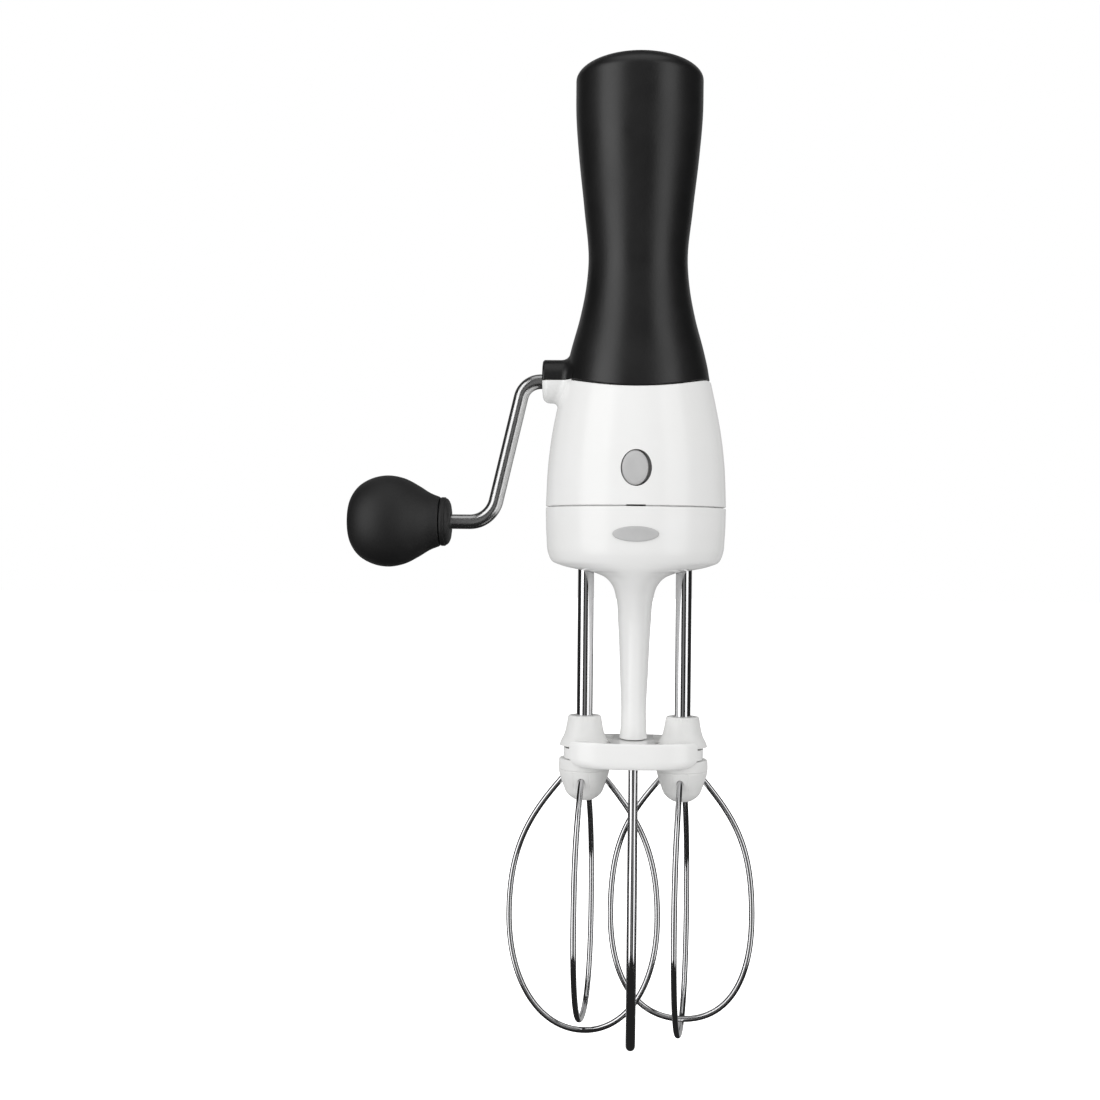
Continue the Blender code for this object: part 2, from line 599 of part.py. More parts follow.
def make_beater(side, beater, outer_turn):
    steel = ((0.66, 0.66, 0.66), 0.12, 1.0)
    white = ((0.82, 0.82, 0.80), 0.3)
    rings = [oval(SHAFT_R, SHAFT_R, z, 24) for z in (80.6, 169.4)]
    rings += [hexagon(4.0, z, 24) for z in (170.4, 181.0)]
    skin(f"{side}_shaft", rings, steel, beater)
    tube(f"{side}_shaft_clip", SHAFT_R + GAP, 4.4, (160.8, 161.6), steel, beater)
    bore = SHAFT_R + GAP
    collar = smooth_outline(COLLAR_OUTLINE, 1) + [(bore, COLLAR_OUTLINE[-1][1]),
                                                  (bore, COLLAR_OUTLINE[0][1])]
    turned(f"{side}_collar", collar[::-1], white, beater, closed=True)
    bell = turned(f"{side}_bell", BELL_OUTLINE + [(bore, BELL_OUTLINE[-1][1]), (bore, 80.2)], white,
                  beater)
    loops = (("outer", OUTER_LOOP, outer_turn), ("inner", INNER_LOOP, outer_turn + math.pi / 2))
    for label, loop, turn in loops:
        wide = (loop["radius"], loop["wide_z"])
        half = half_loop(WIRE_ENTRY, ENTRY_SLOPE, wide, loop["bottom_z"], loop["pulls"])
        wire(f"{side}_{label}_loop", full_loop(half, turn), WIRE_R, steel, beater)
        for end, half_turn in (("first", 0), ("second", math.pi)):
            wire_hole(bell, f"{label}_{end}", turn + half_turn)


def wire_hole(bell, label, turn):
    """A slanted hole in the bell that the end of a wire loop sits in."""
    slope = Vector((math.sin(ENTRY_SLOPE), 0, -math.cos(ENTRY_SLOPE)))
    entry = Vector((WIRE_ENTRY[0], 0, WIRE_ENTRY[1]))
    side = Vector((0, 1, 0))
    up = slope.cross(side)
    radius = WIRE_R + 0.25
    rings = []
    for reach in (-0.6, 7.0):
        ring = []
        for i in range(10):
            a = 2 * math.pi * i / 10
            spot = entry + slope * reach + (side * math.cos(a) + up * math.sin(a)) * radius
            ring.append((spot.x * math.cos(turn) - spot.y * math.sin(turn),
                         spot.x * math.sin(turn) + spot.y * math.cos(turn), spot.z))
        rings.append(ring)
    combine(bell, skin(f"{bell.name}_{label}_hole", rings))


def make_button(button):
    """Release button, with the hook behind it that catches the latch tongue."""
    cap = []
    half_x, half_z = BUTTON_HALF
    front, back = FLANGE_Y
    levels = [(0.84, BUTTON_FACE_Y), (1.0, BUTTON_FACE_Y + 0.5), (1.0, front - 0.1), (1.38, front),
              (1.38, back)]
    for share, y in levels:
        wide = half_x * share
        tall = half_z * (1.25 if share > 1 else share)
        cap.append(along_axis([(x + BUTTON_SHIFT, z + BUTTON_Z, y) for x, z, _ in
                               oval(wide, tall, 0, 28)], "Y"))
    skin("button_cap", cap, ((0.45, 0.45, 0.44), 0.35), button)
    stem_low = TONGUE_TOP_Z + 0.5
    stem_high = stem_low + 2.0
    back = TONGUE_Y[1] + 3.6
    nose = TONGUE_Y[0] + 0.2
    nose_z = (WINDOW_Z[0] + GAP, WINDOW_Z[1] - 0.4)
    leg = back - 1.8
    start = FLANGE_Y[1] + GAP
    outline = [(start, stem_low), (start, stem_high), (back, stem_high), (back, nose_z[0]),
               (nose, nose_z[0]), (nose, nose_z[1]), (leg, nose_z[1]), (leg, stem_low)]
    prism("latch_hook", outline[::-1], (-1.6, 1.6), "X", ((0.6, 0.6, 0.6), 0.3, 1.0), button)


def make_button_guide():
    """Upright guide that the hook's stem slides through and the spring pushes against."""
    base = PLATE_Z[1] + GAP
    outline = [(GUIDE_Y[0] - 1.6, base), (GUIDE_Y[1], base), (GUIDE_Y[1], 188.0),
               (GUIDE_Y[0], 188.0), (GUIDE_Y[0], base + 1.5), (GUIDE_Y[0] - 1.6, base + 1.5)]
    guide = prism("button_guide", outline[::-1], (-5.5, 5.5), "X", ((0.75, 0.75, 0.73), 0.5))
    low = TONGUE_TOP_Z + 0.2
    combine(guide, block("guide_window", (-2.1, 2.1), (-25, -8), (low, low + 2.6)))


def make_spring():
    """Coil spring round the hook's stem, between the button and its guide."""
    turns = 4
    steps = 10
    start = FLANGE_Y[1] + 0.6
    length = GUIDE_Y[0] - 0.6 - start
    center = TONGUE_TOP_Z + 1.5
    points = []
    for i in range(turns * steps + 1):
        a = 2 * math.pi * i / steps
        points.append((2.7 * math.cos(a), start + length * i / (turns * steps),
                       center + 2.7 * math.sin(a)))
    wire("button_spring", points, 0.25, ((0.6, 0.6, 0.6), 0.25, 1.0), roundness=0)


def main():
    clear_scene()
    make_grip()
    make_core()
    make_upper_housing()
    make_chassis()
    make_gear_frame()
    make_bushes()
    make_button_guide()
    make_spring()
    crank = empty("crank_axis", (0, 0, CRANK_Z))
    make_crank(crank)
    make_knob(empty("knob_axis", (0, 0, -CRANK_THROW), crank))
    unit = empty("unit_axis", (0, 0, 0))
    make_lower_housing(unit)
    make_deck(unit)
    make_bridge(unit)
    make_foot(unit)
    make_unit_fittings(unit)
    for side, x, turn in (("left", -SHAFT_X, LEFT_TURN),
                          ("right", SHAFT_X, RIGHT_TURN + math.pi / 2)):
        make_spindle(side, empty(f"{side}_spindle_axis", (x, 0, 0)))
        make_beater(side, empty(f"{side}_beater_axis", (x, 0, 0), unit), turn)
    make_button(empty("button_axis", (0, 0, 0)))


main()
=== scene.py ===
"""Looks of the hand-cranked egg beater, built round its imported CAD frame.

Shapes are worked out in millimetres, as in the CAD source, and turned into metres as each mesh is
made. Every piece that stands for a CAD node is named after it, with _fine added.
"""

import json
import math

import bmesh
import bpy
import numpy as np
from mathutils import Matrix, Vector
from mathutils.geometry import interpolate_bezier


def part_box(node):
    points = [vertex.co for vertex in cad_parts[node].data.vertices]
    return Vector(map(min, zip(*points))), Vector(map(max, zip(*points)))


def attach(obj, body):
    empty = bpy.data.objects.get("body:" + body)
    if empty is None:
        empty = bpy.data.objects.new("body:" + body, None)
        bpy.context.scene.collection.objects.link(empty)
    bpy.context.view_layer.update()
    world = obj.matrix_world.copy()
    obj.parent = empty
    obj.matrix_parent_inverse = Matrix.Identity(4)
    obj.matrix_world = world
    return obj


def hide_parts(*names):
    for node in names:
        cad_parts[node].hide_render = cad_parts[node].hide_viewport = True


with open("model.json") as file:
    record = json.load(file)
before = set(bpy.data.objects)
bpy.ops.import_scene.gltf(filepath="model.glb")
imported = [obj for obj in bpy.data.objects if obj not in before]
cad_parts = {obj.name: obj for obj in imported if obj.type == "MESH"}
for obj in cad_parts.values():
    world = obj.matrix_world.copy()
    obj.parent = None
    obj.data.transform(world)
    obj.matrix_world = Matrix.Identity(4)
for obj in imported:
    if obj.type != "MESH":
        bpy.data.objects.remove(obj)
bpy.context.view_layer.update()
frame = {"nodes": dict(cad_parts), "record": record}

MM = 0.001
GAP = 0.3                      # between touching pieces


def span(node, axis):
    """Lowest and highest coordinate of a CAD node along an axis, in millimetres."""
    low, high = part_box(node)
    return low[axis] / MM, high[axis] / MM


def middle(node, axis):
    """Middle of a CAD node along an axis, in millimetres."""
    return sum(span(node, axis)) / 2


# Places read from the frame. The badge and the button are a little smaller and lower in the photo.
BADGE_SHARE = 0.93
BUTTON_DROP = 0.7
CRANK_Z = middle("boss_bush", 2)
KNOB_Z = middle("crank_knob", 2)
SHAFT_X = middle("right_shaft", 0)
BUTTON_X = middle("button_cap", 0)
BUTTON_Z = middle("button_cap", 2) - BUTTON_DROP
BUTTON_FACE_Y = span("button_cap", 1)[0]
BUTTON_BACK_Y = span("button_cap", 1)[1]
SEAM_Z = span("upper_housing", 2)[0]
TOP_Z = span("grip_sleeve", 2)[1]
BRIDGE_LOW, BRIDGE_TOP = span("beater_bridge", 2)
BRIDGE_HALF_X = span("beater_bridge", 0)[1]
BRIDGE_HALF_Y = span("beater_bridge", 1)[1]
BADGE_HALF_X = span("badge", 0)[1] * BADGE_SHARE
BADGE_Z = middle("badge", 2)
BADGE_HALF_Z = (span("badge", 2)[1] - BADGE_Z) * BADGE_SHARE
BOSS_END_X = span("grip_sleeve", 0)[0]
ROD_R = span("crank_rod", 1)[1]

# Shapes. An outline holds (half width, height) points, or (radius, X) points for the knob.
DEPTH = 0.92                   # the body's depth, as a share of its width
SPLIT_DIP = 3.2                # fall of the edge between grip and housing, from side to front
LEVEL_SHARE = 0.12             # share of the way round that the edge stays level at the sides
DIP_REACH = 9.0                # the rings above and below the edge level out over this height
DOME_Z = 301.5
DOME_TOP_Z = TOP_Z - 1.5       # a camera this low sees the dome's front, which stands higher in view
BODY_OUTLINE = [(28.0, SEAM_Z), (27.4, 182.0), (26.2, 191.9), (24.6, 200.3), (22.9, CRANK_Z),
                (20.6, 217.8), (17.9, 227.8), (16.2, 236.6), (15.45, 245.0), (16.9, 261.7),
                (18.7, 278.0), (19.7, 291.0), (19.8, DOME_Z)]
LOWER_OUTLINE = [(28.0, SEAM_Z - GAP), (27.7, 159.6), (27.1, 154.4), (26.0, 152.1), (23.2, 150.8),
                 (17.6, 149.5), (12.2, 148.4), (9.0, 146.9), (6.9, 144.4), (5.75, 140.5),
                 (5.1, 133.0), (4.4, 118.0), (3.95, 102.5), (4.1, 99.5), (4.35, 97.0)]
LOWER_DEPTH_OUTLINE = [(28.0 * DEPTH, SEAM_Z - GAP), (25.4, 159.6), (24.5, 154.0), (22.6, 150.2),
                       (19.2, 146.4), (14.8, 141.5), (11.0, 135.0), (8.6, 127.0), (6.8, 117.0),
                       (5.5, 106.0), (5.1, 101.0), (5.4, 97.0)]
KNOB_OUTLINE = [(0.0, -90.3), (3.7, -90.1), (6.7, -89.5), (10.7, -87.0), (13.5, -82.4),
                (14.35, -77.8), (13.5, -72.6), (11.1, -67.8), (8.9, -64.2), (7.7, -61.2)]
COLLAR_OUTLINE = [(7.8, 94.6), (7.5, 95.6), (6.3, 98.2), (5.7, 100.6), (5.15, 104.0)]
BELL_OUTLINE = [(3.0, 77.8), (4.5, 78.8), (5.4, 79.7), (6.4, 81.9), (7.2, 84.2), (7.9, 86.8),
                (7.9, 90.7)]
RUBBER_WALL = 1.8
RUBBER_STEP = 0.22             # the rubber's lower edge is set back this much from the housing
SHELL_WALL = 2.2
LIP_INSET = 1.1                # the two housings meet along a stepped lip
BOSS_R = 6.6
BORE_R = 4.3
BORE_X = (-33, -12)            # from outside the boss to the inside of the body
SEAM_EDGE = 0.35               # rounding of the housings' edges along the seam
HOUSING_EDGE = 0.45
RUBBER_EDGE = 0.5
HOLE_HALF = (4.6, 5.45)        # half sizes of the button's hole, then of its cap
CAP_HALF = (3.95, 5.2)
CAP_FLANGE = 0.8
CRANK_CORNERS = [(18.6, 0.0), (-35.0, 0.0), (-45.2, -44.0), (-84.5, -44.0)]
CRANK_BENDS = [6.3, 8.5]
KNOB_COLLAR_OUTLINE = [(ROD_R + 0.15, -60.9), (7.45, -60.9), (7.65, -60.7), (7.65, -59.6),
                       (7.5, -59.42), (7.3, -59.35), (7.3, -59.15), (7.1, -58.8), (6.6, -58.4),
                       (5.8, -58.05), (4.6, -57.85), (2.75, -57.8), (ROD_R + 0.15, -57.95)]
KNOB_CAVITY = [(3.6, -61.2), (3.6, -80.5), (5.2, -80.5), (5.2, -87.4), (0, -87.4)]
SHAFT_R = 2.5
SHAFT_OUTLINE = [(1.9, 80.6), (SHAFT_R, 81.2), (SHAFT_R, 169.2), (2.35, 169.8)]
HEX_R = 2.0                    # centre to flat of the shaft's upper end
HEX_OUTLINE = [(1.0, 170.2), (1.0, 180.6), (0.85, 181.0)]      # (share of full size, height)
COLLAR_RIBS = 28
BELL_R, BELL_TOP_Z = BELL_OUTLINE[-1]
BELL_LINE_Z = 87.2             # height of the line all round the bell
PANEL_FOOT_Z = 81.2
PANEL_HALF = 2.45              # from a wire to the panel line beside it
LINE_HALF = 0.16
LINE_DEPTH = 0.13
WEB = (91.0, 94.2)             # height of the bridge's web between its upper and lower pockets
POCKET_R = 8.3
WIRE_R = 0.92
WIRE_ENTRY = (5.4, 85.9)       # where a wire enters its bell, as (out, height)
ENTRY_SLOPE = math.radians(41)
OUTER_LOOP = {"radius": 23.35, "wide_z": 41.0, "bottom_z": 5.4, "pulls": (17.6, 21.6, 21.9, 13.2)}
INNER_LOOP = {"radius": 22.0, "wide_z": 42.0, "bottom_z": 9.7, "pulls": (17.6, 22.3, 20.8, 13.8)}
LEFT_TURN = math.radians(-5.6)
RIGHT_TURN = math.radians(83.2)
FOOT_R = 1.5
FOOT_TOP = (10.4, 91.6)
FOOT_SLOPE = math.radians(4)
FOOT_WIDE = (22.0, 46.0)
FOOT_PULLS = (18.0, 20.0, 26.0, 13.5)
AROUND = 160                   # points round the body

# Studio: softboxes as (name, degrees round from the front, width, power), in metres and watts
SOFTBOXES = (("left_softbox", -51, 0.64, 5.4), ("right_softbox", 50, 0.52, 3.4),
             ("front_softbox", 0, 0.40, 0.35),
             ("back_left_softbox", -158, 0.60, 1.0), ("back_right_softbox", 158, 0.60, 1.0))
SURROUND_FILL = 0.58
SURROUND_IN_REFLECTIONS = 0.02
LENS = 49.03
CAMERA_AT = (-0.002, -0.468, 0.157)
CAMERA_AIM = (-0.0266, 0, 0.1554)
CAMERA_LEAN = math.radians(0.57)


# ---------------------------------------------------------------- mesh tools

def smooth_path(points, steps):
    """Points along a smooth curve through the given ones, with handles that suit their spacing."""
    path = [Vector(point) for point in points]
    slopes = []
    for i, here in enumerate(path):
        back = here - path[max(i - 1, 0)]
        ahead = path[min(i + 1, len(path) - 1)] - here
        if not back.length:
            slopes.append(ahead.normalized())
        elif not ahead.length:
            slopes.append(back.normalized())
        else:
            slope = back.normalized() * ahead.length + ahead.normalized() * back.length
            slopes.append(slope / (back.length + ahead.length))
    result = []
    for start, end, leave, arrive in zip(path, path[1:], slopes, slopes[1:]):
        reach = (end - start).length / 3
        result += interpolate_bezier(start, start + leave * reach, end - arrive * reach, end, steps + 1)
        result.pop()
    return [*result, path[-1]]


def half_at(outline):
    """A function that gives the half width at a height."""
    curve = sorted(smooth_path(outline, 16), key=lambda point: point.y)
    heights = [point.y for point in curve]
    halves = [point.x for point in curve]
    return lambda height: float(np.interp(height, heights, halves))


BODY_HALF = half_at(BODY_OUTLINE)
LOWER_HALF = half_at(LOWER_OUTLINE)
LOWER_HALF_DEPTH = half_at(LOWER_DEPTH_OUTLINE)


def solid(name, rings, closed=False, sharp=40.0):
    """A closed mesh through a stack of rings. An end ring of one point is a pole."""
    verts = []
    starts = []
    for ring in rings:
        starts.append(len(verts))
        verts += [tuple(c * MM for c in point) for point in ring]
    faces = []
    pairs = list(zip(range(len(rings)), range(1, len(rings))))
    if closed:
        pairs.append((len(rings) - 1, 0))
    for low, high in pairs:
        a, b = starts[low], starts[high]
        count_a, count_b = len(rings[low]), len(rings[high])
        for i in range(max(count_a, count_b)):
            j = (i + 1) % max(count_a, count_b)
            if count_a == 1:
                faces.append((a, b + j, b + i))
            elif count_b == 1:
                faces.append((a + i, a + j, b))
            else:
                faces.append((a + i, a + j, b + j, b + i))
    if not closed:
        for end in (0, -1):
            if len(rings[end]) > 1:
                faces.append(tuple(range(starts[end], starts[end] + len(rings[end]))))
    mesh = bpy.data.meshes.new(name)
    mesh.from_pydata(verts, [], faces)
    mesh.validate()
    obj = bpy.data.objects.new(name, mesh)
    bpy.context.scene.collection.objects.link(obj)
    tidy(obj, sharp)
    return obj


def tidy(obj, sharp):
    """Faces the mesh outwards and shades it smooth, apart from edges sharper than the angle."""
    bm = bmesh.new()
    bm.from_mesh(obj.data)
    bmesh.ops.dissolve_degenerate(bm, dist=0.002 * MM, edges=bm.edges)
    bmesh.ops.recalc_face_normals(bm, faces=bm.faces)
    if bm.calc_volume(signed=True) < 0:
        bmesh.ops.reverse_faces(bm, faces=bm.faces)
    bm.to_mesh(obj.data)
    bm.free()
    obj.data.shade_smooth()
    obj.data.set_sharp_from_angle(angle=math.radians(sharp))


def apply_modifiers(obj):
    """Replaces the object's mesh with the mesh that its modifiers make."""
    graph = bpy.context.evaluated_depsgraph_get()
    made = bpy.data.meshes.new_from_object(obj.evaluated_get(graph))
    obj.modifiers.clear()
    obj.data = made


def combine(target, tools, operation="DIFFERENCE"):
    """Joins or cuts the target with each tool in turn, then removes the tools."""
    for tool in tools:
        modifier = target.modifiers.new(tool.name, "BOOLEAN")
        modifier.operation = operation
        modifier.object = tool
    bpy.context.view_layer.update()
    apply_modifiers(target)
    for tool in tools:
        bpy.data.objects.remove(tool, do_unlink=True)


def round_edges(obj, width):
    """Rounds off sharp edges."""
    bevel = obj.modifiers.new("round_edges", "BEVEL")
    bevel.width = width * MM
    bevel.segments = 2
    bevel.limit_method = "ANGLE"
    bevel.angle_limit = math.radians(40)


def even_shading(obj):
    """Keeps the shading of large faces free of streaks from the small ones beside them."""
    obj.modifiers.new("even_shading", "WEIGHTED_NORMAL").keep_sharp = True


def turns_of(count):
    """This many equally spaced turns, in radians."""
    return [2 * math.pi * i / count for i in range(count)]


def oval(half_x, half_y, z, count=AROUND):
    """A level oval ring round the Z axis."""
    return [(half_x * math.cos(a), half_y * math.sin(a), z) for a in turns_of(count)]


def along(ring, axis):
    """The ring of a shape that stands on the Z axis, or the same ring laid along the X axis."""
    return [(w, u, v) for u, v, w in ring] if axis == "X" else ring


def turned(name, profile, axis="Z", closed=False, count=64, at=(0, 0, 0), sharp=40.0):
    """A turned solid from (radius, height) points. A radius of 0 at an end is a pole."""
    rings = []
    for radius, height in profile:
        ring = [(0, 0, height)] if radius < 1e-6 else oval(radius, radius, height, count)
        rings.append([tuple(Vector(point) + Vector(at)) for point in along(ring, axis)])
    return solid(name, rings, closed, sharp)


def rod_cutter(name, radius, ends, at=(0, 0, 0), axis="Z", count=64):
    """A plain cylinder between two ends along its axis."""
    low, high = ends
    return turned(name, [(0, low), (radius, low), (radius, high), (0, high)], axis, count=count, at=at)


def sweep(name, path, radius, normal, sides=16):
    """A round wire along a path that lies in the plane square to normal."""
    path = [Vector(point) for point in path]
    normal = Vector(normal).normalized()
    rings = []
    for i, here in enumerate(path):
        ahead = path[min(i + 1, len(path) - 1)] - path[max(i - 1, 0)]
        side = normal.cross(ahead.normalized()).normalized()
        rings.append([tuple(here + (side * math.cos(a) + normal * math.sin(a)) * radius)
                      for a in turns_of(sides)])
    rings = [[tuple(path[0])], *rings, [tuple(path[-1])]]
    return solid(name, rings, sharp=60.0)


# ---------------------------------------------------------------- materials

def new_material(name, color, roughness, metallic=0.0):
    """A plain material, which the functions below add textures to."""
    material = bpy.data.materials.new(name)
    material.use_nodes = True
    shader = material.node_tree.nodes["Principled BSDF"]
    shader.inputs["Base Color"].default_value = (*color, 1.0)
    shader.inputs["Roughness"].default_value = roughness
    shader.inputs["Metallic"].default_value = metallic
    material.diffuse_color = (*color, 1.0)
    return material


def add_node(material, kind, **values):
    """A new shader node, with each value set on the input or the property of that name."""
    node = material.node_tree.nodes.new(kind)
    for key, value in values.items():
        if key in node.inputs:
            node.inputs[key].default_value = value
        else:
            setattr(node, key, value)
    return node


def link(material, source, target):
    """Joins a node's output to another node's input."""
    material.node_tree.links.new(source, target)


def noise_of(material, scale, stretch=(1, 1, 1), detail=3.0, rough=0.55):
    """A noise texture in the object's own coordinates. Its scale is in features per metre."""
    coordinates = add_node(material, "ShaderNodeTexCoord")
    mapping = add_node(material, "ShaderNodeMapping")
    mapping.inputs["Scale"].default_value = stretch
    link(material, coordinates.outputs["Object"], mapping.inputs["Vector"])
    noise = add_node(material, "ShaderNodeTexNoise", Scale=scale, Detail=detail, Roughness=rough)
    link(material, mapping.outputs["Vector"], noise.inputs["Vector"])
    return noise.outputs["Fac"]


def spread(material, source, low, high):
    """Maps a texture's middle range to a range of values."""
    ranged = add_node(material, "ShaderNodeMapRange")
    ranged.inputs["From Min"].default_value = 0.3
    ranged.inputs["From Max"].default_value = 0.7
    ranged.inputs["To Min"].default_value = low
    ranged.inputs["To Max"].default_value = high
    link(material, source, ranged.inputs["Value"])
    return ranged.outputs["Result"]


def shader_of(material):
    """The material's main shader."""
    return material.node_tree.nodes["Principled BSDF"]


def vary_roughness(material, source, low, high):
    """Lets a texture drive the roughness, from low to high."""
    link(material, spread(material, source, low, high), shader_of(material).inputs["Roughness"])


def vary_color(material, source, dark, light):
    """Lets a texture drive the colour, from dark to light."""
    ramp = add_node(material, "ShaderNodeValToRGB")
    ramp.color_ramp.elements[0].position = 0.3
    ramp.color_ramp.elements[0].color = (*dark, 1.0)
    ramp.color_ramp.elements[1].position = 0.7
    ramp.color_ramp.elements[1].color = (*light, 1.0)
    link(material, source, ramp.inputs["Fac"])
    link(material, ramp.outputs["Color"], shader_of(material).inputs["Base Color"])


def add_bump(material, sources, distance):
    """Bump from one or more (texture, strength) pairs, one on top of the other."""
    last = None
    for source, strength in sources:
        bump = add_node(material, "ShaderNodeBump", Strength=strength, Distance=distance)
        link(material, source, bump.inputs["Height"])
        if last:
            link(material, last.outputs["Normal"], bump.inputs["Normal"])
        last = bump
    link(material, last.outputs["Normal"], shader_of(material).inputs["Normal"])


def rubber_material(name, smooth, rough):
    """Black rubber with a fine moulded grain and a faint bloom."""
    material = new_material(name, (0.007, 0.007, 0.0073), rough)
    shader_of(material).inputs["Specular IOR Level"].default_value = 0.68
    grain = noise_of(material, 2600, detail=2.0)
    patches = noise_of(material, 60)
    vary_color(material, patches, (0.006, 0.006, 0.0063), (0.009, 0.009, 0.0093))
    vary_roughness(material, patches, smooth, rough)
    add_bump(material, [(grain, 0.35), (noise_of(material, 900), 0.2)], 0.00006)
    return material


def gloss_material():
    """Glossy off-white plastic with the slight waviness of a moulded skin."""
    material = new_material("white_gloss_plastic", (0.86, 0.86, 0.85), 0.2)
    patches = noise_of(material, 45)
    vary_color(material, patches, (0.845, 0.845, 0.835), (0.865, 0.865, 0.86))
    vary_roughness(material, patches, 0.17, 0.25)
    add_bump(material, [(noise_of(material, 90), 0.12), (noise_of(material, 1500), 0.05)], 0.00005)
    return material


def satin_material():
    """Satin off-white plastic of the turned parts."""
    material = new_material("white_satin_plastic", (0.76, 0.76, 0.75), 0.42)
    patches = noise_of(material, 120)
    vary_color(material, patches, (0.74, 0.74, 0.73), (0.79, 0.79, 0.78))
    vary_roughness(material, patches, 0.36, 0.48)
    add_bump(material, [(noise_of(material, 1800), 0.2), (noise_of(material, 300), 0.15)], 0.00005)
    return material


def grey_material():
    """Satin mid-grey plastic of the button and the badge."""
    material = new_material("grey_plastic", (0.51, 0.51, 0.51), 0.4)
    patches = noise_of(material, 200)
    vary_color(material, patches, (0.49, 0.49, 0.49), (0.53, 0.53, 0.53))
    vary_roughness(material, patches, 0.34, 0.46)
    add_bump(material, [(noise_of(material, 2200), 0.2)], 0.00004)
    return material


def inner_material():
    """Plain moulded plastic of the hidden parts."""
    material = new_material("inner_plastic", (0.72, 0.71, 0.68), 0.5)
    patches = noise_of(material, 150)
    vary_color(material, patches, (0.69, 0.68, 0.65), (0.75, 0.74, 0.71))
    vary_roughness(material, patches, 0.44, 0.58)
    add_bump(material, [(noise_of(material, 1200), 0.25)], 0.00006)
    return material


def polished_material():
    """Polished stainless steel with faint lengthways polishing marks."""
    material = new_material("polished_steel", (0.78, 0.78, 0.79), 0.08, 1.0)
    marks = noise_of(material, 1500, (1, 1, 0.06), 4.0)
    vary_roughness(material, marks, 0.05, 0.11)
    vary_color(material, noise_of(material, 80), (0.75, 0.75, 0.76), (0.80, 0.80, 0.81))
    add_bump(material, [(marks, 0.03)], 0.00001)
    return material


def brushed_material():
    """Satin drawn steel, with fine lines along the wire."""
    material = new_material("brushed_steel", (0.62, 0.62, 0.62), 0.24, 1.0)
    lines = noise_of(material, 1400, (1, 1, 0.1), 4.0, 0.6)
    vary_roughness(material, lines, 0.20, 0.28)
    vary_color(material, noise_of(material, 60), (0.58, 0.58, 0.58), (0.66, 0.66, 0.66))
    add_bump(material, [(lines, 0.05)], 0.00002)
    return material


def bronze_material():
    """Dull sintered bronze, open-grained."""
    material = new_material("sintered_bronze", (0.55, 0.42, 0.25), 0.42, 1.0)
    grains = noise_of(material, 2500, detail=1.0)
    vary_color(material, grains, (0.44, 0.33, 0.19), (0.60, 0.46, 0.28))
    vary_roughness(material, grains, 0.36, 0.55)
    add_bump(material, [(grains, 0.4)], 0.00005)
    return material


FINISHES = {
    "black_rubber": rubber_material("black_rubber", 0.33, 0.41),
    "white_gloss_plastic": gloss_material(),
    "white_satin_plastic": satin_material(),
    "grey_plastic": grey_material(),
    "inner_plastic": inner_material(),
    "polished_steel": polished_material(),
    "brushed_steel": brushed_material(),
    "sintered_bronze": bronze_material(),
}


def place(piece, node, body, finish, material=None):
    """Gives a finished piece its material and its body, and hides the CAD node it stands for."""
    piece.data.materials.clear()
    piece.data.materials.append(material or FINISHES[finish])
    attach(piece, body)
    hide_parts(node)


def finish_cad_nodes():
    """Gives every CAD node its slot's material, for the ones that stay visible."""
    for row in frame["record"]["subparts"]:
        node = frame["nodes"][row["node"]]
        node.data.materials.clear()
        node.data.materials.append(FINISHES[row["material_slot"]])


# ---------------------------------------------------------------- body of the beater

def dip(turn):
    """How far the edge between grip and housing lies below its level stretch, at a turn."""
    share = max(0.0, math.sin(turn) ** 2 - LEVEL_SHARE) / (1 - LEVEL_SHARE)
    return SPLIT_DIP * share


def body_ring(z, inset=0.0, pull=0.0):
    """A ring of the body. With a pull of 1 it lies on the grip's dipping edge."""
    ring = []
    for a in turns_of(AROUND):
        height = z - dip(a) * pull
        half = BODY_HALF(height)
        ring.append(((half - inset) * math.cos(a), (half * DEPTH - inset) * math.sin(a), height))
    return ring


def fade(z, start, length):
    """1 at the start, falling smoothly to 0 at this distance above or below it."""
    share = min(1.0, max(0.0, abs(z - start) / length))
    return 1 - share * share * (3 - 2 * share)


def split_ring(z, split_z, inset=0.0):
    """A ring of the body that follows the dipping edge, the nearer the closer it is."""
    return body_ring(z, inset, fade(z, split_z, DIP_REACH))


def dome_ring(degrees, inset=0.0):
    """A ring of the domed top, from 0 degrees at its foot to 90 at its pole."""
    turn = math.radians(degrees)
    radius = BODY_OUTLINE[-1][0]
    height = DOME_Z + (DOME_TOP_Z - DOME_Z - inset) * math.sin(turn)
    if degrees == 90:
        return [(0, 0, height)]
    half = (radius - inset) * math.cos(turn)
    return oval(half, half * (radius * DEPTH - inset) / (radius - inset), height)


def edge_steps(radius, steps=4):
    """(inset, rise) pairs that round off an outer edge."""
    return [(radius * (1 - math.sin(a)), radius * (1 - math.cos(a)))
            for a in (math.pi / 2 * i / steps for i in range(steps + 1))]


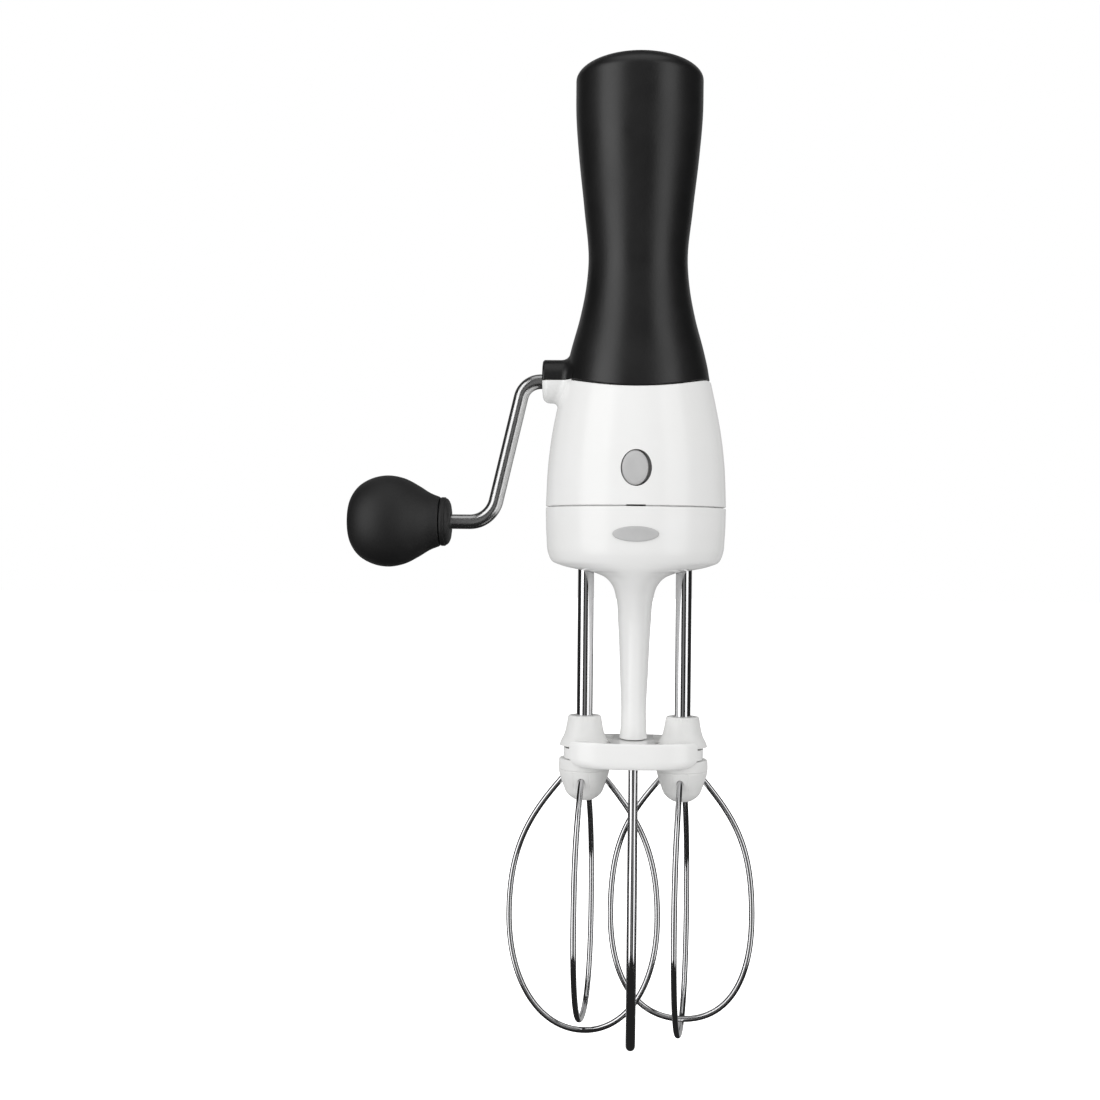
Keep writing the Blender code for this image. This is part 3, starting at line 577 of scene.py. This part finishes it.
def make_grip():
    """Rubber grip: a hollow shell, rounded at its lower edge, with the upper half of the boss."""
    base = CRANK_Z + GAP / 2
    rings = [dome_ring(90, RUBBER_WALL)]
    rings += [dome_ring(degrees, RUBBER_WALL) for degrees in range(80, 0, -16)]
    rings += [split_ring(z, base, RUBBER_WALL) for z in np.linspace(DOME_Z, base, 24)]
    rings += [split_ring(base + rise, base, inset + RUBBER_STEP)
              for inset, rise in edge_steps(RUBBER_EDGE)]
    rings += [split_ring(z, base, RUBBER_STEP * fade(z, base, 5))
              for z in np.linspace(base + 1.2, DOME_Z, 76)]
    rings += [dome_ring(degrees) for degrees in range(4, 90, 4)]
    rings.append(dome_ring(90))
    grip = solid("grip_sleeve_fine", rings)
    combine(grip, [boss("grip_boss", True)], "UNION")
    combine(grip, [crank_bore("grip_bore")])
    tidy(grip, 35)
    even_shading(grip)
    place(grip, "grip_sleeve", "handle", "black_rubber")


def crank_bore(name):
    """Cutter for the bore that the boss's bush sits in."""
    return rod_cutter(name, BORE_R, BORE_X, (0, 0, CRANK_Z), "X")


def boss(name, upper):
    """Half of the round boss on the body's crank side, with a fillet where it meets the body."""
    sign = 1 if upper else -1
    plane = CRANK_Z + sign * (GAP / 2 + 0.01)
    rim = 0.8 if upper else 2.2
    fillet = 2.2
    spokes = [math.pi * i / 40 for i in range(41)]

    def surface_x(y, z):
        share = min(0.999, abs(y) / (BODY_HALF(z) * DEPTH))
        return -BODY_HALF(z) * math.sqrt(1 - share * share)

    def ring(spots):
        return [(x, radius * math.cos(a), plane + sign * radius * math.sin(a))
                for a, (x, radius) in zip(spokes, spots)]

    def round_ring(x, radius):
        return ring([(x, radius)] * len(spokes))

    def fillet_spot(a, share):
        near = surface_x(BOSS_R * math.cos(a), plane + sign * BOSS_R * math.sin(a))
        wide = BOSS_R + fillet
        far = surface_x(wide * math.cos(a), plane + sign * wide * math.sin(a)) + 0.15
        start = Vector((max(BOSS_END_X + rim + 0.2, near - fillet), BOSS_R))
        end = Vector((far, wide))
        corner = Vector((near, BOSS_R))
        if share > 1:
            return tuple(end + (end - corner) * 0.6)
        return tuple(start * (1 - share) ** 2 + corner * 2 * share * (1 - share) + end * share ** 2)

    rings = [round_ring(BOSS_END_X, 0.2)]
    rings += [round_ring(BOSS_END_X + run, BOSS_R - inset) for inset, run in edge_steps(rim, 6)]
    rings += [ring([fillet_spot(a, share) for a in spokes])
              for share in (0.0, 0.2, 0.4, 0.6, 0.8, 1.0, 1.25)]
    rings.append(round_ring(BOSS_END_X + 11.0, BOSS_R - 1.5))
    return solid(name, rings)


def make_upper_housing():
    """Glossy upper housing, with the lower half of the boss, the button hole and a latch slot."""
    top = CRANK_Z - GAP / 2
    lip_z = SEAM_Z - 0.8
    rings = [body_ring(SEAM_Z + rise, inset) for inset, rise in edge_steps(SEAM_EDGE, 3)]
    rings += [split_ring(z, top) for z in np.linspace(SEAM_Z + 1.0, top - 1.2, 44)]
    rings += [split_ring(top - rise, top, inset) for inset, rise in edge_steps(HOUSING_EDGE)[::-1]]
    rings += [split_ring(z, top, SHELL_WALL) for z in np.linspace(top, SEAM_Z, 14)]
    rings += [body_ring(lip_z, SHELL_WALL), body_ring(lip_z, LIP_INSET + 0.1)]
    rings.append(body_ring(SEAM_Z, LIP_INSET))
    housing = solid("upper_housing_fine", rings, closed=True)
    combine(housing, [boss("housing_boss", False)], "UNION")
    slot = block("latch_slot", (-2.85, 2.85), (-27, -22), (SEAM_Z - 1.5, SEAM_Z + 0.2))
    combine(housing, [crank_bore("housing_bore"), button_hole(), slot])
    tidy(housing, 35)
    even_shading(housing)
    place(housing, "upper_housing", "handle", "white_gloss_plastic")


def block(name, x, y, z):
    """A block between two places along each axis."""
    rings = [[(x[0], y[0], h), (x[1], y[0], h), (x[1], y[1], h), (x[0], y[1], h)] for h in z]
    return solid(name, rings)


def front_y(x, z, half=BODY_HALF):
    """Depth of the body's front surface at a place seen from the front."""
    return -half(z) * DEPTH * math.sqrt(1 - (x / half(z)) ** 2)


def button_hole():
    """Cutter for the button's hole. Its mouth follows the housing, which rounds the hole's edge."""
    mouth = 0.25
    outside, inside = -30.0, -15.0
    rings = [[(x, outside, z) for x, z in hole_ring(mouth + 0.12)]]
    for degrees in (0, 25, 45, 65, 90):
        a = math.radians(degrees)
        deep = mouth * (1 - math.cos(a)) - 0.06
        rings.append([(x, front_y(x, z) + deep, z) for x, z in hole_ring(mouth * (1 - math.sin(a)))])
    rings.append([(x, inside, z) for x, z in hole_ring(0)])
    return solid("button_hole", rings)


def hole_ring(flare):
    """(x, z) points round the button's hole, widened by the flare."""
    return [((HOLE_HALF[0] + flare) * math.cos(a), BUTTON_Z + (HOLE_HALF[1] + flare) * math.sin(a))
            for a in turns_of(72)]


def make_lower_housing():
    """Glossy lower housing of the beater unit, down to the foot of its stem."""
    rim = SEAM_Z - GAP
    half = LOWER_HALF(rim)
    path = [point for point in reversed(smooth_path(LOWER_OUTLINE, 9)) if point.y < rim - 0.6]
    foot_z = path[0].y
    rings = [lower_ring(4.0, foot_z), lower_ring(4.3, foot_z + 0.12)]
    rings += [lower_ring(point.x, point.y) for point in path[1:]]
    rings += [body_wall(LOWER_HALF(rim - drop), rim - drop, inset)
              for inset, drop in edge_steps(SEAM_EDGE, 3)[::-1]]
    rings += [body_wall(half, rim, LIP_INSET - 0.1), body_wall(half, rim - 0.95, LIP_INSET)]
    inside = [(28.0, rim - 0.95), (27.7, 159.6), (26.6, 154.6), (24.0, 152.9), (8.0, 152.1)]
    rings += [body_wall(wide, z, SHELL_WALL) for wide, z in inside]
    housing = solid("lower_housing_fine", rings, sharp=35)
    cutters = [rod_cutter(f"bore_{sign}", SHAFT_R + 0.5, (140, 160), (sign * SHAFT_X, 0, 0))
               for sign in (-1, 1)]
    cutters += [rod_cutter(f"seat_{sign}", BORE_R, (151.0, 160), (sign * SHAFT_X, 0, 0))
                for sign in (-1, 1)]
    combine(housing, cutters)
    tidy(housing, 35)
    even_shading(housing)
    place(housing, "lower_housing", "beater_unit", "white_gloss_plastic")


def body_wall(half, z, inset):
    """A ring of the body's own shape, this far in from this half width."""
    return oval(half - inset, half * DEPTH - inset, z)


def lower_ring(half, z):
    """A ring of the lower housing, whose depth follows an outline of its own."""
    return oval(half, LOWER_HALF_DEPTH(z), z)


def make_badge():
    """Plain oval badge, crowned slightly, that follows the front of the lower housing."""
    rings = [[(0, front_y(0, BADGE_Z, LOWER_HALF) - 0.42, BADGE_Z)]]
    for share, proud in ((0.35, 0.42), (0.7, 0.4), (0.9, 0.38), (0.97, 0.3), (1.0, 0.15), (1.0, -0.4)):
        ring = []
        for a in turns_of(96):
            x = BADGE_HALF_X * share * math.cos(a)
            z = BADGE_Z + BADGE_HALF_Z * share * math.sin(a)
            ring.append((x, front_y(x, z, LOWER_HALF) - proud, z))
        rings.append(ring)
    badge = solid("badge_fine", rings, sharp=60)
    place(badge, "badge", "beater_unit", "grey_plastic")


def make_button():
    """Release button with a crowned face and a flange behind the housing."""
    thick = BUTTON_BACK_Y - BUTTON_FACE_Y
    flange_front = thick - CAP_FLANGE
    levels = [(0.5, -0.12), (0.8, 0.0), (0.92, 0.12), (0.98, 0.38), (1.0, 0.75),
              (1.0, flange_front - 0.1), (1.38, flange_front), (1.38, thick)]
    rings = [[(BUTTON_X, BUTTON_FACE_Y - 0.16, BUTTON_Z)]]
    for share, back in levels:
        ring = oval(CAP_HALF[0] * share, CAP_HALF[1] * min(share, 1.25), 0, 72)
        rings.append([(x + BUTTON_X, BUTTON_FACE_Y + back, z + BUTTON_Z) for x, z, _ in ring])
    cap = solid("button_cap_fine", rings)
    place(cap, "button_cap", "release_button", "grey_plastic")


# ---------------------------------------------------------------- bridge and beaters

def bend(value, half):
    """Pushes a coordinate outwards, which turns an oval into one with squarer shoulders."""
    share = value / half
    return half * math.copysign(abs(share) ** 0.8, share)


def bridge_ring(share, z):
    """A ring of the bridge, at this share of its full width."""
    ring = oval(BRIDGE_HALF_X * share, BRIDGE_HALF_Y * (1 + share) / 2, z, 192)
    return [(bend(x, BRIDGE_HALF_X), bend(y, BRIDGE_HALF_Y), z) for x, y, z in ring]


def make_bridge():
    """Bridge that carries both beaters: an oval slab with pockets, bores and a tray on top."""
    low, high = BRIDGE_LOW, BRIDGE_TOP
    levels = [(0.76, low), (0.81, low + 0.06), (0.86, low + 0.24), (0.90, low + 0.5),
              (0.94, low + 0.9), (0.965, low + 1.4), (0.985, low + 2.0), (1.0, low + 2.9),
              (1.0, high - 1.2), (0.995, high - 0.7), (0.98, high - 0.25), (0.96, high)]
    bridge = solid("beater_bridge_fine", [bridge_ring(share, z) for share, z in levels], sharp=35)
    cutters = []
    for sign in (-1, 1):
        at = (sign * SHAFT_X, 0, 0)
        cutters += [rod_cutter(f"upper_pocket_{sign}", POCKET_R, (WEB[1], 110), at, count=96),
                    rod_cutter(f"lower_pocket_{sign}", POCKET_R, (70, WEB[0]), at, count=96),
                    rod_cutter(f"bore_{sign}", SHAFT_R + 0.15, (80, 100), at),
                    rod_cutter(f"foot_{sign}", FOOT_R + 0.15, (80, FOOT_TOP[1] + GAP),
                               (0, sign * FOOT_TOP[0], 0)),
                    tray(f"tray_{sign}", sign)]
    combine(bridge, cutters)
    tidy(bridge, 35)
    round_edges(bridge, 0.22)
    even_shading(bridge)
    place(bridge, "beater_bridge", "beater_unit", "white_gloss_plastic")


def tray(name, sign):
    """Cutter for the recess in the bridge's top, between its stem and one pocket."""
    inner = 6.3
    half_depth = 10.6
    curve_depth = 12.0
    outline = [(inner, y) for y in np.linspace(-half_depth, half_depth, 25)]
    for y in np.linspace(half_depth, -half_depth, 25):
        reach = BRIDGE_HALF_X * 0.93 * math.sqrt(1 - (y / curve_depth) ** 2)
        outline.append((max(inner + 0.6, reach), y))
    rings = [[(sign * x, y, z) for x, y in outline] for z in (BRIDGE_TOP - 1.3, BRIDGE_TOP + 4)]
    return solid(name, rings)


def beater_loop(loop, turn):
    """Centreline of a beater's wire loop, in an upright plane at this angle from the X axis."""
    wide = (loop["radius"], loop["wide_z"])
    half = half_loop(WIRE_ENTRY, ENTRY_SLOPE, wide, loop["bottom_z"], loop["pulls"])
    return full_loop(half, turn)


def half_loop(top, slope, wide, bottom_z, pulls):
    """(out, height) points of half a loop, from its top end by its widest point to its foot."""
    out = (top[0] + pulls[0] * math.sin(slope), top[1] - pulls[0] * math.cos(slope))
    upper = [top, out, (wide[0], wide[1] + pulls[1]), wide]
    lower = [wide, (wide[0], wide[1] - pulls[2]), (pulls[3], bottom_z), (0, bottom_z)]
    path = []
    for stretch in (upper, lower):
        path += interpolate_bezier(*[Vector((x, z, 0)) for x, z in stretch], 36)
        path.pop()
    return [(point.x, point.y) for point in path] + [(0, bottom_z)]


def full_loop(half, turn):
    """The half loop and its mirror image, in an upright plane at this angle from the X axis."""
    flat = half + [(-out, z) for out, z in reversed(half[:-1])]
    return [(out * math.cos(turn), out * math.sin(turn), z) for out, z in flat]


def make_foot():
    """Thicker fixed loop between the beaters."""
    half = half_loop(FOOT_TOP, FOOT_SLOPE, FOOT_WIDE, FOOT_R, FOOT_PULLS)
    foot = sweep("foot_loop_fine", full_loop(half, math.pi / 2), FOOT_R, (1, 0, 0), 28)
    place(foot, "foot_loop", "beater_unit", "polished_steel")


def ribbed_ring(radius, z, at_x, depth=0.0):
    """A ring with the collar's ribs, which are the stretches between grooves of this depth."""
    ring = []
    for a in turns_of(192):
        groove = max(0.0, math.cos(a * COLLAR_RIBS)) ** 6
        r = radius - depth * groove
        ring.append((at_x + r * math.cos(a), r * math.sin(a), z))
    return ring


def make_collar(side, x):
    """Flared collar above the bridge, with fine ribs round its top."""
    bore = SHAFT_R + 0.2
    edge = 0.45
    top_r, top_z = COLLAR_OUTLINE[-1]
    path = [(point.x, point.y) for point in smooth_path(COLLAR_OUTLINE, 10)]
    rings = [ribbed_ring(bore, path[0][1], x), ribbed_ring(7.3, path[0][1], x)]
    rings += [ribbed_ring(radius, z, x, 0.16 * fade(z, 103.4, 1.5))
              for radius, z in path[1:] if z < top_z - edge]
    rings += [ribbed_ring(top_r - inset, top_z - drop, x, 0.14 * drop / edge)
              for inset, drop in edge_steps(edge)[::-1]]
    rings += [ribbed_ring(bore + 0.3, top_z, x), ribbed_ring(bore, top_z - 0.3, x)]
    collar = solid(f"{side}_collar_fine", rings, closed=True, sharp=50)
    place(collar, f"{side}_collar", f"{side}_beater", "white_satin_plastic")


def bell_ring(radius, z, x, outer_turn):
    """A ring of the bell, with a shallow panel line on each side of a wire and one line all round."""
    ring = []
    for a in turns_of(288):
        lean = (a - outer_turn + math.pi / 4) % (math.pi / 2) - math.pi / 4
        panel = 0.0
        if PANEL_FOOT_Z < z < BELL_LINE_Z:
            panel = max(0.0, 1 - abs(abs(lean) * radius - PANEL_HALF) / LINE_HALF)
        line = max(0.0, 1 - abs(z - BELL_LINE_Z) / LINE_HALF)
        r = radius - LINE_DEPTH * max(panel, line)
        ring.append((x + r * math.cos(a), r * math.sin(a), z))
    return ring


def make_bell(side, x, outer_turn):
    """Bell-shaped hub under the bridge that holds the upper ends of both wire loops."""
    path = [(point.x, point.y) for point in smooth_path(BELL_OUTLINE, 12)]
    wall = [(radius, z) for radius, z in path if z < BELL_TOP_Z - 0.5]
    wall += [(BELL_R, BELL_LINE_Z + step / 10) for step in range(-2, 3)]
    wall.sort(key=lambda spot: spot[1])
    rings = [[(x, 0, path[0][1] + 0.1)], bell_ring(1.5, path[0][1] + 0.02, x, outer_turn)]
    rings += [bell_ring(radius, z, x, outer_turn) for radius, z in wall]
    rings += [bell_ring(BELL_R - inset, BELL_TOP_Z - drop, x, outer_turn)
              for inset, drop in edge_steps(0.4, 3)[::-1]]
    rings.append([(x, 0, BELL_TOP_Z)])
    bell = solid(f"{side}_bell_fine", rings, sharp=50)
    cutters = [rod_cutter("shaft_bore", SHAFT_R + 0.1, (80.2, 95), (x, 0, 0))]
    slope = Vector((math.sin(ENTRY_SLOPE), 0, -math.cos(ENTRY_SLOPE)))
    start = Vector((WIRE_ENTRY[0], 0, WIRE_ENTRY[1]))
    for k in range(4):
        around = Matrix.Rotation(outer_turn + k * math.pi / 2, 3, "Z")
        ends = [around @ (start + slope * reach) + Vector((x, 0, 0)) for reach in (-0.7, 7.0)]
        normal = around @ Vector((0, 1, 0))
        cutters.append(sweep(f"wire_hole_{k}", ends, WIRE_R + 0.14, normal, 20))
    combine(bell, cutters)
    tidy(bell, 45)
    even_shading(bell)
    place(bell, f"{side}_bell", f"{side}_beater", "white_satin_plastic")


def make_shaft(side, x):
    """Round shaft with a chamfered foot and a hexagonal top that plugs into its spindle."""
    hexagon = []
    for a in turns_of(48):
        lean = a % (math.pi / 3) - math.pi / 6
        hexagon.append((HEX_R / math.cos(lean) * math.cos(a), HEX_R / math.cos(lean) * math.sin(a)))
    rings = [oval(r, r, z, 48) for r, z in SHAFT_OUTLINE]
    rings += [[(u * share, v * share, z) for u, v in hexagon] for share, z in HEX_OUTLINE]
    rings = [[(u + x, v, z) for u, v, z in ring] for ring in rings]
    shaft = solid(f"{side}_shaft_fine", rings, sharp=25)
    place(shaft, f"{side}_shaft", f"{side}_beater", "polished_steel")


def make_beater(side, x, outer_turn):
    """One beater: its collar, bell and shaft, and its two crossing wire loops."""
    make_collar(side, x)
    make_bell(side, x, outer_turn)
    make_shaft(side, x)
    for label, loop, turn in (("outer", OUTER_LOOP, outer_turn),
                              ("inner", INNER_LOOP, outer_turn + math.pi / 2)):
        path = [(u + x, v, z) for u, v, z in beater_loop(loop, turn)]
        normal = (-math.sin(turn), math.cos(turn), 0)
        wire = sweep(f"{side}_{label}_loop_fine", path, WIRE_R, normal, 20)
        place(wire, f"{side}_{label}_loop", f"{side}_beater", "polished_steel")


# ---------------------------------------------------------------- crank

def corner_path(corners, bends, steps):
    """The corners as a path whose inner corners are rounded with arcs."""
    path = [Vector(corners[0])]
    for before, corner, after, radius in zip(corners, corners[1:], corners[2:], bends):
        back = (Vector(before) - Vector(corner)).normalized()
        ahead = (Vector(after) - Vector(corner)).normalized()
        half_angle = back.angle(ahead) / 2
        center = Vector(corner) + (back + ahead).normalized() * radius / math.sin(half_angle)
        spoke = Vector(corner) + back * radius / math.tan(half_angle) - center
        axis = ahead.cross(back)
        turn = math.pi - 2 * half_angle
        for i in range(steps + 1):
            path.append(center + Matrix.Rotation(turn * i / steps, 3, axis) @ spoke)
    return [*path, Vector(corners[-1])]


def make_crank():
    """Bent steel rod, cranked down from the boss to the knob."""
    corners = [(x, 0, CRANK_Z + rise) for x, rise in CRANK_CORNERS]
    rod = sweep("crank_rod_fine", corner_path(corners, CRANK_BENDS, 20), ROD_R, (0, 1, 0), 40)
    place(rod, "crank_rod", "crank", "brushed_steel")


def make_knob():
    """Pear-shaped rubber knob, hollow round its sleeve, and the grooved collar at its inner end."""
    matt_rubber = rubber_material("matt_rubber", 0.52, 0.60)
    outer = [(point.x, point.y) for point in smooth_path(KNOB_OUTLINE, 9)]
    outer = outer[:-1] + [(7.65, -61.28), (7.45, -61.2)]
    knob = turned("crank_knob_fine", outer + KNOB_CAVITY, "X", count=112, at=(0, 0, KNOB_Z))
    place(knob, "crank_knob", "knob", "black_rubber", matt_rubber)
    at = (0, 0, KNOB_Z)
    collar = turned("knob_collar_fine", KNOB_COLLAR_OUTLINE, "X", True, 96, at, sharp=50)
    place(collar, "knob_collar", "knob", "black_rubber", matt_rubber)


# ---------------------------------------------------------------- studio

def add_light(name, place_at, aim, size, power):
    """A flat light that the camera doesn't see."""
    lamp = bpy.data.lights.new(name, "AREA")
    lamp.shape = "RECTANGLE"
    lamp.size, lamp.size_y = size
    lamp.energy = power
    obj = bpy.data.objects.new(name, lamp)
    obj.location = place_at
    obj.rotation_euler = (Vector(aim) - Vector(place_at)).to_track_quat("-Z", "Y").to_euler()
    obj.visible_camera = False
    bpy.context.scene.collection.objects.link(obj)


def make_floor():
    """A white floor that only the camera sees. It casts no light on the beater and takes no shadow."""
    floor = solid("floor", [[(-4000, -4000, z), (4000, -4000, z), (4000, 4000, z), (-4000, 4000, z)]
                            for z in (-40, 0)])
    paint = new_material("floor_paint", (0.9, 0.9, 0.9), 0.6)
    shader = shader_of(paint)
    shader.inputs["Emission Color"].default_value = (1, 1, 1, 1)
    shader.inputs["Emission Strength"].default_value = 1.0
    floor.data.materials.append(paint)
    floor.visible_diffuse = False
    floor.visible_glossy = False
    floor.visible_shadow = False


def make_surround():
    """A surround that is white to the camera, pale as fill light and almost black in reflections."""
    world = bpy.data.worlds.new("surround")
    bpy.context.scene.world = world
    world.use_nodes = True
    nodes, links = world.node_tree.nodes, world.node_tree.links
    fill = nodes["Background"]
    ray = nodes.new("ShaderNodeLightPath")
    mix = nodes.new("ShaderNodeMixShader")
    seen = nodes.new("ShaderNodeBackground")
    level = nodes.new("ShaderNodeMath")
    level.operation = "MULTIPLY_ADD"
    level.inputs[1].default_value = SURROUND_IN_REFLECTIONS - SURROUND_FILL
    level.inputs[2].default_value = SURROUND_FILL
    links.new(ray.outputs["Is Glossy Ray"], level.inputs[0])
    links.new(level.outputs["Value"], fill.inputs["Strength"])
    fill.inputs["Color"].default_value = (1, 1, 1, 1)
    seen.inputs["Color"].default_value = (1, 1, 1, 1)
    links.new(ray.outputs["Is Camera Ray"], mix.inputs["Fac"])
    links.new(fill.outputs["Background"], mix.inputs[1])
    links.new(seen.outputs["Background"], mix.inputs[2])
    links.new(mix.outputs["Shader"], nodes["World Output"].inputs["Surface"])


def make_softboxes():
    """Tall softboxes in a circle round the beater, and one above it."""
    aim = (0, 0, 0.16)
    reach = 0.95
    for name, degrees, width, power in SOFTBOXES:
        a = math.radians(degrees)
        add_light(name, (reach * math.sin(a), -reach * math.cos(a), 0.3), aim, (width, 1.6), power)
    add_light("top_softbox", (0, -0.2, 1.3), aim, (1.0, 1.0), 2.0)


def make_camera():
    """A camera that sees the beater as the photo does."""
    camera = bpy.data.cameras.new("camera")
    camera.sensor_width = 36
    camera.lens = LENS
    camera.clip_start = 0.01
    obj = bpy.data.objects.new("camera", camera)
    obj.location = CAMERA_AT
    aim = Vector(CAMERA_AIM) - obj.location
    look = aim.to_track_quat("-Z", "Y").to_matrix() @ Matrix.Rotation(CAMERA_LEAN, 3, "Z")
    obj.rotation_euler = look.to_euler()
    bpy.context.scene.collection.objects.link(obj)
    bpy.context.scene.camera = obj


finish_cad_nodes()
make_camera()
make_floor()
make_surround()
make_softboxes()
make_grip()
make_upper_housing()
make_lower_housing()
make_badge()
make_button()
make_bridge()
make_foot()
make_beater("left", -SHAFT_X, LEFT_TURN)
make_beater("right", SHAFT_X, RIGHT_TURN)
make_crank()
make_knob()
bpy.context.scene.view_settings.view_transform = "Standard"
